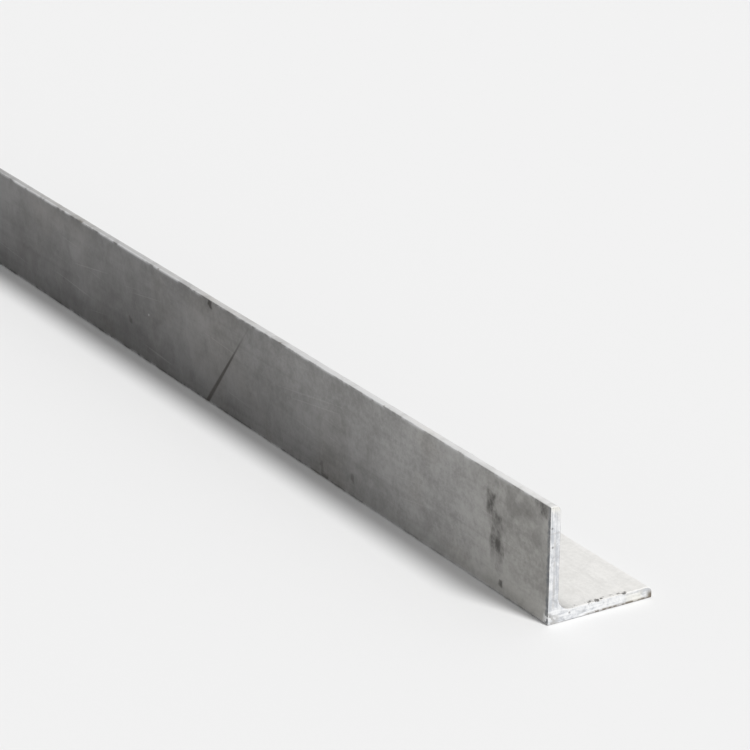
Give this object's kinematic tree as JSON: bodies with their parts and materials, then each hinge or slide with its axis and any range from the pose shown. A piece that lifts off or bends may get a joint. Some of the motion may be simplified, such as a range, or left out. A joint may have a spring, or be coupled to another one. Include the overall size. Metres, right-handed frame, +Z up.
{
  "type": "angle section",
  "caption": "Equal-leg steel angle section: a straight bar with an L-shaped rolled section, root fillet, rounded toes and square-cut ends, with a dull hot-dip zinc coat.",
  "frame": {"origin": "middle of the bar's box, at floor level, under the flat leg", "axes": "+X along the bar, +Y from the heel along the flat leg to its toe, +Z up along the upright leg to its toe"},
  "size_m": [3, 0.05, 0.05],
  "materials": {
    "zinc_coat": "dull mottled hot-dip zinc on rolled steel, paler on the cut ends and the toes"
  },
  "bodies": {
    "root": {"angle_bar": "zinc_coat"}
  },
  "joints": []
}
